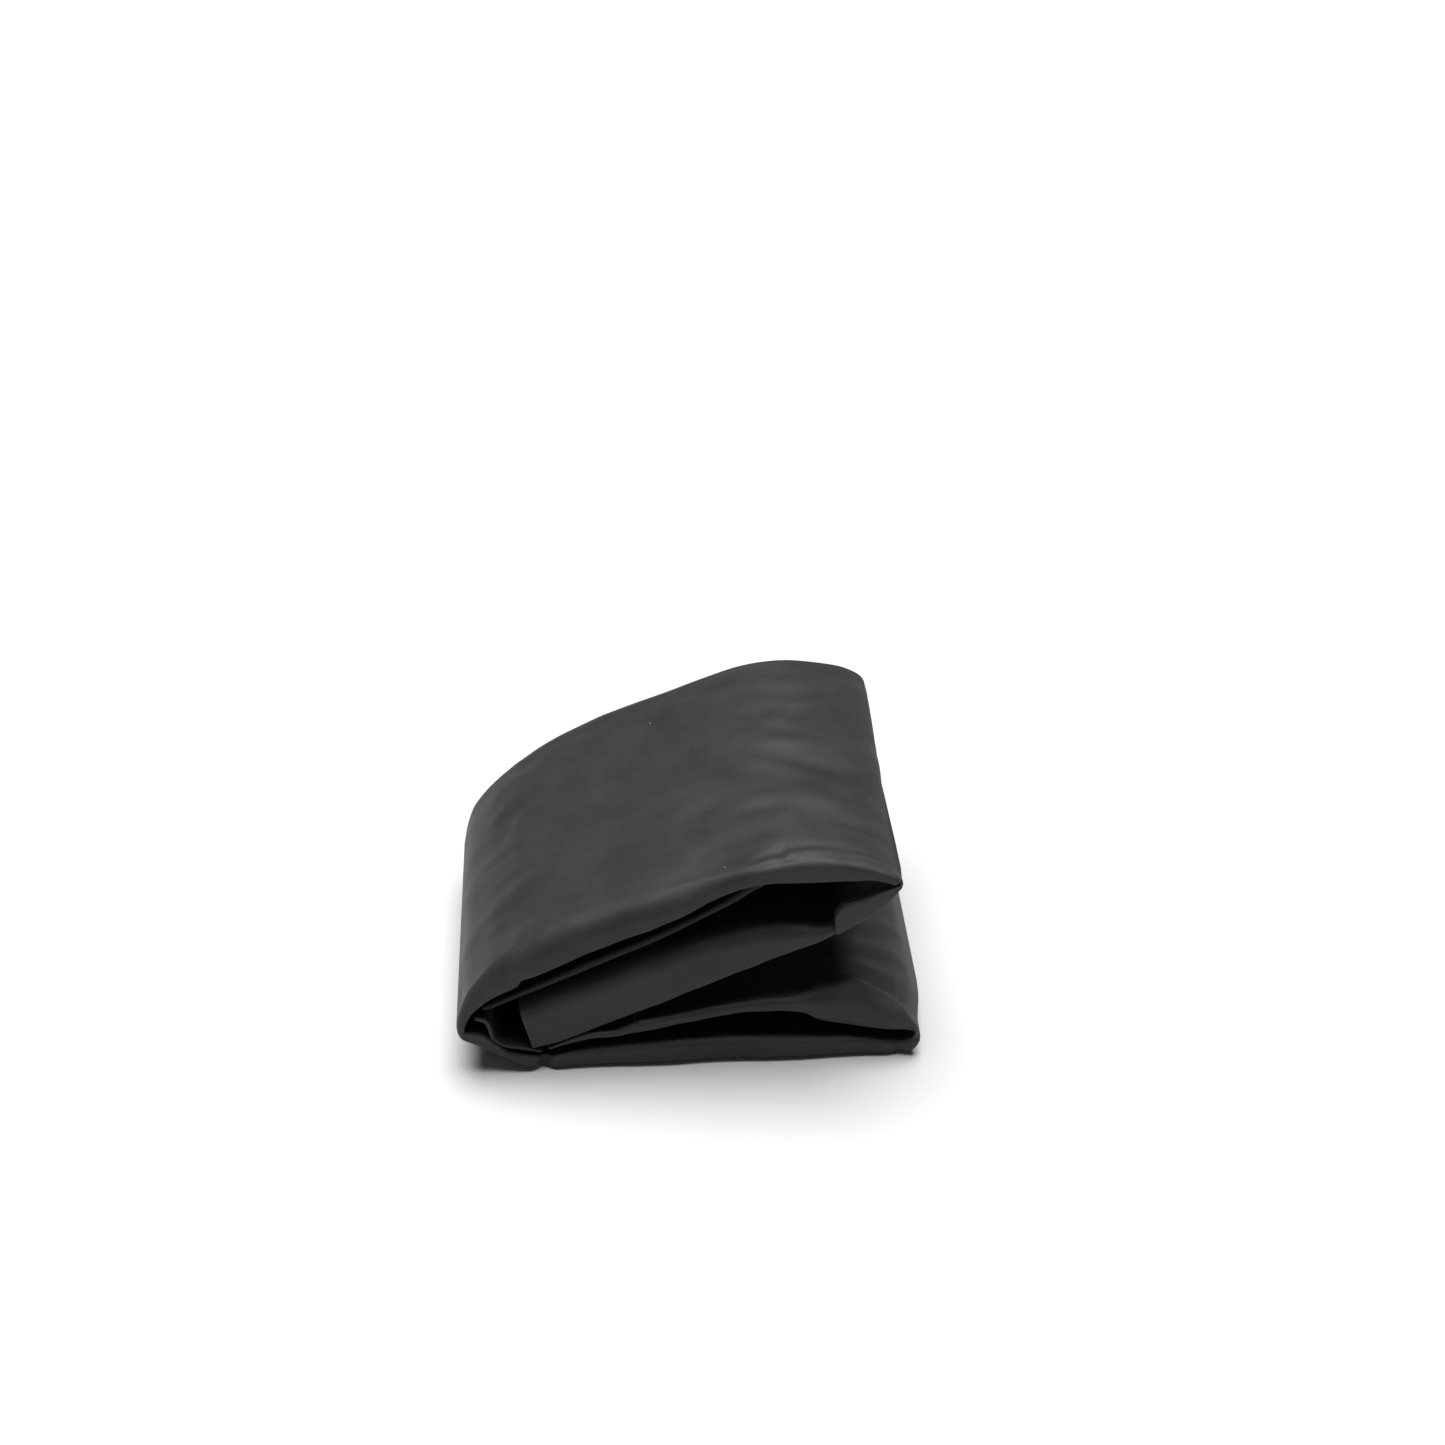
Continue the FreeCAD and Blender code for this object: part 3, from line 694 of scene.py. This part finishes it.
def make_gate(name, rows, inner_steps, lips, lines, seed, growth, recess=0.0):
    """A gate's cloth before it is joined to its bodies."""
    piece, count = tube(name, rows, gate_edges, GATE_OUTER, inner_steps, LIP_STEPS, LIP_RADIUS,
                        [lips] * len(rows), recess)
    points = get_points(piece) / MM
    normals = get_normals(piece)
    row, ring = row_and_ring(points, count, rows)
    outer = (ring < GATE_OUTER).astype(float)
    streaks(points, normals, lines, outer)
    mask = smoothstep(row, 0, 12)
    ripples(points, normals, scale=34, height=1.2, seed=seed,
            mask=mask * (0.4 + 0.6 * front_share(points)))
    ripples(points, normals, scale=12, height=0.5, seed=seed + 1,
            mask=mask * (0.5 + 0.5 * front_share(points)))
    set_points(piece, points * MM)
    row = np.arange(len(points)) // count
    # The simulation moves only the middle of the outer side.
    free = outer * smoothstep(row, 4, 14) * smoothstep(-row, -len(rows) + 2, -len(rows) + 12)
    free *= smoothstep(points[:, 1], FRONT, FRONT + 14) * smoothstep(-points[:, 1], -80, -64)
    relax(piece, 1 - free, growth)
    return piece, count


def gate_edges(x, z):
    """The gates' edges, inside the wrap's where its back corners are rounded."""
    near, far = wrap_edges(x, z)
    return near + GATE_FRONT_GAP, min(far, GATE_BACK_MOST) - GATE_BACK_GAP


def make_upper_gate():
    """Upper gate's cloth, open at its free end, where the sleeves come out."""
    piece, count = make_gate("upper_gate_cloth", gate_rows(UPPER_GATE_STATIONS, 92), inner_steps=60,
                             lips=(0.62, 0.05), lines=[], seed=5, growth=0.008, recess=GATE_MOUTH)
    tip = UPPER_FOLD + GATE_BEND * GATE_AXIS
    settle(piece, count, "coated_nylon", nodes=(
        "upper_gate_outer_front_panel", "upper_gate_outer_back_panel",
        "upper_gate_inner_front_panel", "upper_gate_inner_back_panel"),
        across=("top_leaf", "upper_gate", place(*UPPER_FOLD), place(*tip)))
    return piece


def make_lower_gate():
    """Lower gate's cloth, whose right fold stands further out behind its front lip."""
    piece, count = make_gate("lower_gate_cloth", smooth_path(LOWER_GATE_STATIONS, 78), inner_steps=36,
                             lips=(0.5, 0.3), lines=GATE_STREAKS, seed=8, growth=0.007)
    points = get_points(piece) / MM
    behind = smoothstep(points[:, 1], FRONT, -52)
    points[:, 0] += 3.2 * smoothstep(points[:, 0], 60, 94) * behind
    set_points(piece, points * MM)
    settle(piece, count, "coated_nylon", nodes=(
        "lower_gate_outer_front_panel", "lower_gate_outer_back_panel", "lower_gate_inner_front_panel",
        "lower_gate_inner_back_panel"),
        across=("bottom_leaf", "lower_gate", place(98, 12), place(84, 18)))
    return piece


def make_ply(name, stations, steps, edges, slot, body, nodes, seed, share=0.4, height=0.5):
    """A thin ply of cloth between the leaves."""
    rows = smooth_path(stations, steps)
    piece, count = tube(name, rows, edges, outer_steps=64, inner_steps=32, lip_steps=5, roundness=2.0,
                        rounds=[(share, share)] * steps)
    ripple_piece(piece, PLY_RIPPLE, height, seed)
    settle(piece, count, slot, body, nodes)
    return piece


def make_sleeve(side, middle, seed):
    """One arm sleeve with its lining, pressed flat inside the upper gate, and its gathered cuff."""
    shell = [(58, middle * 0.6 + 1.0, 58, middle * 0.6 - 0.6), (80, middle + 1.7, 80, middle - 1.7),
             (120, middle + 1.9, 120, middle - 1.9), (147, middle + 1.3, 147, middle - 1.3)]
    core = [(a, middle + (b - middle) * 0.5, c, middle + (d - middle) * 0.5) for a, b, c, d in shell]
    made = []
    # The sleeve lining takes the darker lining cloth, whose extra darkness is painted shade.
    for word, stations, gap, slot in (("sleeve", shell, SLEEVE_GAP, "coated_nylon"),
                                      ("sleeve_lining", core, LINING_GAP, "lining_nylon")):
        name = "%s_%s" % (side, word)
        piece, count = tube(name + "_cloth", gate_rows(stations, SLEEVE_ROWS), inset(gap, gap),
                            outer_steps=48, inner_steps=48, lip_steps=4, roundness=1.5,
                            rounds=[(0.45, 0.45)] * SLEEVE_ROWS)
        ripple_piece(piece, *SLEEVE_RIPPLE, seed)
        settle(piece, count, slot, "upper_gate", (name,))
        made.append(piece)
    made.append(make_cuff(side, middle, seed))
    return made


def make_cuff(side, middle, seed):
    """Elastic cuff: a short tube gathered into small pleats along its mouth."""
    stations = [(at, middle + half, at, middle - half)
                for at, half in ((CUFF_AT, 1.2), (153, 1.8), (165, 1.6), (169.5, 1.3))]
    piece, count = tube(side + "_cuff_cloth", gate_rows(stations, CUFF_ROWS),
                        inset(CUFF_GAP, CUFF_GAP), outer_steps=150, inner_steps=150, lip_steps=5,
                        roundness=1.5, rounds=[(0.48, 0.48)] * CUFF_ROWS)
    points = get_points(piece) / MM
    normals = get_normals(piece)
    uneven = 0.8 * np.sin(points[:, 1] * 0.31 + seed)
    pleats = np.sin(points[:, 1] * 2 * math.pi / PLEAT_PITCH + uneven)
    along = ((points[:, [0, 2]] - UPPER_FOLD) @ GATE_AXIS - CUFF_AT) / CUFF_LENGTH
    depth = 0.35 + 0.65 * np.cos((along - 0.6) * 2.2) ** 2
    points += normals * (PLEAT_HEIGHT * pleats * depth)[:, None]
    set_points(piece, points * MM)
    settle(piece, count, "elastic", "upper_gate", (side + "_inner_cuff", side + "_outer_cuff"),
           smooth=0)
    return piece


def make_binding(name, stations, body, node, lift):
    """Bound seam along a leaf's back edge: a folded tape standing just proud of the cloth."""
    rows = []
    for ox, oz, ix, iz in smooth_path(stations, BINDING_ROWS):
        outer, inner = np.array([ox, oz]), np.array([ix, iz])
        middle = inner + (outer - inner) * lift
        way = (outer - inner) / max(np.linalg.norm(outer - inner), 0.1)
        rows.append((*(middle + BINDING_HALF * way), *(middle - BINDING_HALF * way)))

    def edges(x, z):
        far = wrap_edges(x, z)[1]
        return far - BINDING_IN, far + BINDING_OUT

    piece, count = tube(name, rows, edges, outer_steps=12, inner_steps=12, lip_steps=6, roundness=1.6,
                        rounds=[(0.38, 0.38)] * len(rows))
    settle(piece, count, "binding", body, (node,))
    return piece


# ------------------------------------------------------------------ zips

TAPE_STEPS, TAPE_THICK = 18, 1.0
TAPE_CORD, TAPE_CORD_WIDTH = 0.2, 0.09      # the cord's height, and its share of the tape's width
STITCH_DEPTH, STITCH_WIDTH, STITCH_AT = 0.22, 0.05, 0.35
COIL_PITCH, COIL_STEPS, COIL_REACH, COIL_END = 1.7, 14, 0.62, 0.5
WIRE, WIRE_SIDES = 0.3, 6                   # the coil's thread: radius and sides
MAX_COIL_HALF = 1.0
BEVEL_SEGMENTS = 3


def node_box(node):
    """A CAD node's lowest and highest corners, in millimetres."""
    return (np.array(corner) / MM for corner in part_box(node))


def make_tape(node, slope, seam):
    """Woven zip tape: a thin strip with a corded edge next to the coil and a stitch line.

    slope is 1 for a tape that climbs with its box, and seam is the cord's place across the tape.
    """
    low, high = node_box(node)
    stitch = STITCH_AT if seam > 0.5 else 1 - STITCH_AT
    rows = []
    for share in np.linspace(0, 1, TAPE_STEPS):
        x = low[0] + (high[0] - low[0]) * share
        base = low[2] + 0.05 if slope == 0 else low[2] + (high[2] - low[2] - TAPE_THICK) * share
        rise = TAPE_CORD * math.exp(-((share - seam) / TAPE_CORD_WIDTH) ** 2)
        rise -= STITCH_DEPTH * math.exp(-((share - stitch) / STITCH_WIDTH) ** 2)
        rows.append((x, base + TAPE_THICK + rise, x, base))
    piece, count = tube(node + "_cloth", rows, lambda x, z: (low[1], high[1]), outer_steps=150,
                        inner_steps=60, lip_steps=4, roundness=0.8,
                        rounds=[(0.45, 0.45)] * TAPE_STEPS)
    ripple_piece(piece, *TAPE_RIPPLE)
    settle(piece, count, "zip_tape", "lower_gate", (node,), smooth=0)
    return piece


def make_coil(node):
    """Coil teeth: two interlocked flattened spirals."""
    low, high = node_box(node)
    middle = (low + high) / 2
    half_width = (high[0] - low[0]) / 2
    half_height = min((high[2] - low[2]) / 2, MAX_COIL_HALF) - WIRE
    reach = half_width * COIL_REACH
    turns = (high[1] - low[1] - 2 * COIL_END) / COIL_PITCH
    mesh = bmesh.new()
    for side in (-1, 1):
        shift = COIL_PITCH / 2 if side > 0 else 0
        rings = []
        for k in range(int(turns * COIL_STEPS) + 1):
            angle = 2 * math.pi * k / COIL_STEPS
            centre = np.array([
                middle[0] + side * (half_width - reach - WIRE) + reach * math.cos(angle),
                low[1] + COIL_END + COIL_PITCH * k / COIL_STEPS + shift,
                middle[2] + half_height * math.sin(angle)])
            out = np.array([math.cos(angle) * half_height, 0, math.sin(angle) * reach])
            out /= max(np.linalg.norm(out), 1e-6)
            ring = []
            for j in range(WIRE_SIDES):
                turn = 2 * math.pi * j / WIRE_SIDES
                spot = centre + WIRE * (math.cos(turn) * out + math.sin(turn) * np.array([0, 1, 0]))
                spot[1] = min(spot[1], high[1])
                ring.append(mesh.verts.new(Vector(spot * MM)))
            rings.append(ring)
        for a, b in zip(rings, rings[1:]):
            for j in range(WIRE_SIDES):
                after = (j + 1) % WIRE_SIDES
                mesh.faces.new((a[j], a[after], b[after], b[j]))
        cap(mesh, rings[0])
        cap(mesh, list(reversed(rings[-1])))
    bmesh.ops.recalc_face_normals(mesh, faces=mesh.faces)
    piece = add_piece(node + "_teeth", mesh)
    dress(piece, "zip_coil")
    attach(piece, "lower_gate")
    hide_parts(node)


def finish_node(node, width):
    """A hard CAD node keeps its shape and gets rounded edges and its finish."""
    part = frame["nodes"][node]
    part.data.materials.clear()
    part.data.materials.append(MATERIALS["zip_metal"])
    modifier = part.modifiers.new("edges", "BEVEL")
    modifier.width = width * MM
    modifier.segments = BEVEL_SEGMENTS
    modifier.limit_method = "ANGLE"


def make_tab(name, low_y, high_y, seed):
    """Folded cloth end of the outer zip, sewn across the chain at one end."""
    rows = smooth_path(TAB_STATIONS, 30)
    piece, count = tube(name, rows, lambda x, z: (low_y, high_y), outer_steps=12, inner_steps=12,
                        lip_steps=6, roundness=2.0, rounds=[(0.4, 0.35)] * len(rows))
    ripple_piece(piece, *TAB_RIPPLE, seed)
    settle(piece, count, "coated_nylon", "lower_gate")
    return piece


# ------------------------------------------------------------------ build

wrap = make_wrap()
upper_gate = make_upper_gate()
lower_gate = make_lower_gate()
# The inner plies take the darker lining cloth, whose extra darkness is painted shade.
upper_ply = make_ply(
    "top_leaf_inner_ply", UPPER_INNER_STATIONS, 60,
    lambda x, z: (FRONT + 1.6, wrap_edges(x, z)[1] - 6),
    "lining_nylon", "top_leaf", ("top_leaf_inner_front_panel",), seed=31)
lower_ply = make_ply(
    "bottom_leaf_inner_ply", LOWER_INNER_STATIONS, 56, inset(22, 8),
    "lining_nylon", "bottom_leaf", ("bottom_leaf_inner_front_panel",), seed=33)
curl = make_ply(
    "spine_inner_cloth", CURL_STATIONS, 34, lambda x, z: (FRONT + 1.5, 56.0),
    "coated_nylon", "bottom_leaf", ("spine_inner_ply",), seed=35)
gusset = make_ply(
    "upper_fold_gusset", GUSSET_STATIONS, 30, lambda x, z: (FRONT + 0.6, FRONT + 5),
    "coated_nylon", "upper_gate", (), seed=37, share=0.1, height=0.7)
sleeves = make_sleeve("right", -2.2, 41) + make_sleeve("left", 2.8, 47)
top_rows = in_row(TOP_STATIONS[3:12], CREASE, TOP_AXIS, TOP_UP)
bindings = [make_binding("top_leaf_binding", top_rows, "top_leaf", "top_leaf_seam_binding", 0.45),
            make_binding("bottom_leaf_binding", BOTTOM_STATIONS[3:9], "bottom_leaf",
                         "bottom_leaf_seam_binding", 0.5)]
tapes = [make_tape("outer_zip_tape_left", 0, 0.93), make_tape("outer_zip_tape_right", 0, 0.07),
         make_tape("inner_zip_tape_left", 1, 0.93), make_tape("inner_zip_tape_right", 1, 0.07)]
make_coil("outer_zip_coil")
make_coil("inner_zip_coil")
tabs = [make_tab("outer_zip_end_front", FRONT + 0.8, FRONT + 9.0, 51),
        make_tab("outer_zip_end_back", BACK - 9.0, BACK - 1.5, 53)]
for zip_name in ("outer_zip", "inner_zip"):
    for part_name, edge in (("slider", 0.35), ("pull", 0.4), ("stop_front", 0.3), ("stop_back", 0.3)):
        finish_node("%s_%s" % (zip_name, part_name), edge)

# ------------------------------------------------------------------ camera, floor and light

CAMERA_AT = (-0.0365, -0.871, 0.6891)
CAMERA_DOWN = 33.0
CAMERA_YAW = 3.6
CAMERA_LENS = 60.3
SENSOR_WIDTH = 36.0
FLOOR_SIZE = 6.0
FLOOR_DROP = 0.0008     # keeps the floor clear of the pack's base
FLOOR_DARK, FLOOR_LIGHT = (0.60, 0.60, 0.603, 1), (0.63, 0.63, 0.63, 1)
SKY = (0.97, 0.98, 1.0, 1)


def add_camera():
    data = bpy.data.cameras.new("camera")
    data.lens = CAMERA_LENS
    data.sensor_width = SENSOR_WIDTH
    data.clip_start = 0.01
    camera = bpy.data.objects.new("camera", data)
    camera.location = CAMERA_AT
    camera.rotation_euler = (math.radians(90 - CAMERA_DOWN), 0, math.radians(-CAMERA_YAW))
    bpy.context.scene.collection.objects.link(camera)
    bpy.context.scene.camera = camera


def add_floor():
    mesh = bmesh.new()
    bmesh.ops.create_grid(mesh, x_segments=1, y_segments=1, size=FLOOR_SIZE)
    floor = add_piece("studio_floor", mesh)
    floor.location = (0, 0, -FLOOR_DROP)
    n = Nodes("studio_floor")
    cloud = n.noise(n.add("TexCoord").outputs["Object"], 3.0)
    n.feed(n.shader.inputs["Base Color"], n.mix(cloud, FLOOR_DARK, FLOOR_LIGHT))
    n.plain(Roughness=0.9, Specular_IOR_Level=0.1)
    floor.data.materials.append(n.material)


def add_sun(name, where, spread, strength):
    """A broad soft light from this direction, this many degrees wide, even over the whole floor."""
    data = bpy.data.lights.new(name, "SUN")
    data.angle = math.radians(spread)
    data.energy = strength
    lamp = bpy.data.objects.new(name, data)
    lamp.rotation_euler = (-Vector(where)).to_track_quat("-Z", "Y").to_euler()
    bpy.context.scene.collection.objects.link(lamp)


def add_world(strength):
    world = bpy.data.worlds.new("studio")
    world.use_nodes = True
    background = world.node_tree.nodes["Background"]
    background.inputs["Color"].default_value = SKY
    background.inputs["Strength"].default_value = strength
    bpy.context.scene.world = world


add_camera()
add_floor()
add_sun("key", (0.0, 0.16, 1.0), 50, 5.3)
add_sun("fill", (0.25, -1.0, 0.9), 60, 0.05)
add_world(0.06)
bpy.context.scene.view_settings.view_transform = "Standard"
